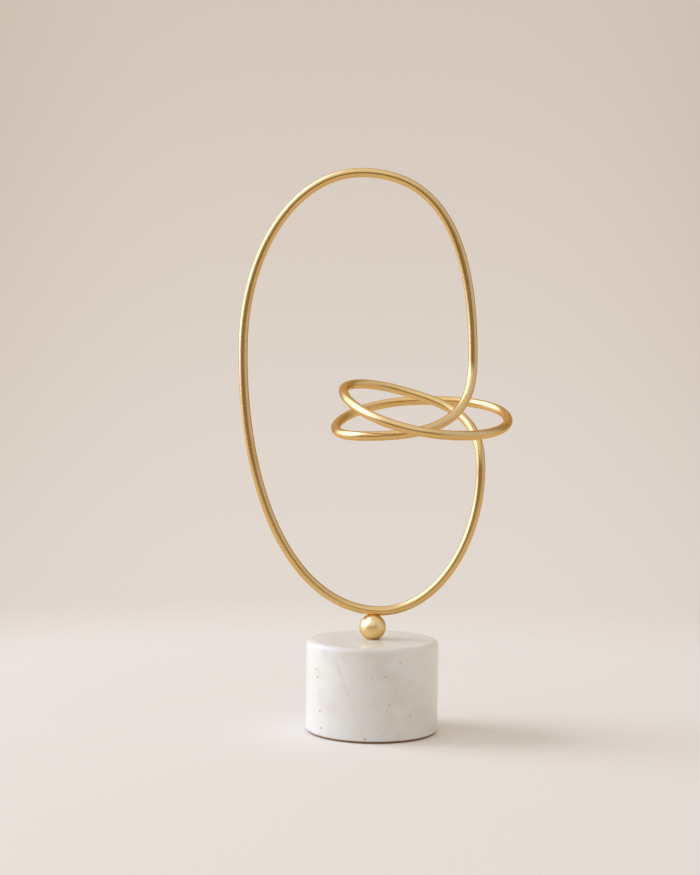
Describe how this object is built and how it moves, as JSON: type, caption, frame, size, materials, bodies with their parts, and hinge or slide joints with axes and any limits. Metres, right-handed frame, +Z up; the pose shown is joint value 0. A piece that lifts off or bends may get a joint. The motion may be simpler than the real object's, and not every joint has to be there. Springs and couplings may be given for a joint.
{
  "type": "knot sculpture",
  "caption": "Free-standing brass rod bent into an upright oval with a level coil on its right side, carried by a ball on a round stone base; a table ornament.",
  "frame": {"origin": "centre of the felt's underside, on the stud's axis, at floor level", "axes": "+Z up along the stud; the oval lies in the XZ plane and is seen from -Y with the coil on +X"},
  "size_m": [0.2135, 0.1312, 0.4368],
  "materials": {
    "brass_rod": "satin",
    "brass_ball": "satin",
    "steel": "zinc plated",
    "marble": "polished",
    "felt": "felt"
  },
  "bodies": {
    "base": {"marble_base": "marble", "flat_washer": "steel", "felt_pad": "felt"},
    "knot": {"oval_rod": "brass_rod", "coil_rod": "brass_rod", "foot_dowel": "steel", "side_dowel": "steel", "spacer_ball": "brass_ball", "clamp_stud": "steel", "lock_washer": "steel", "clamp_nut": "steel"}
  },
  "joints": [
    {"name": "knot_swivel", "type": "hinge", "parent": "base", "child": "knot", "pos_m": [0, 0, 0.0718], "axis": [0, 0, 1], "continuous": true}
  ]
}
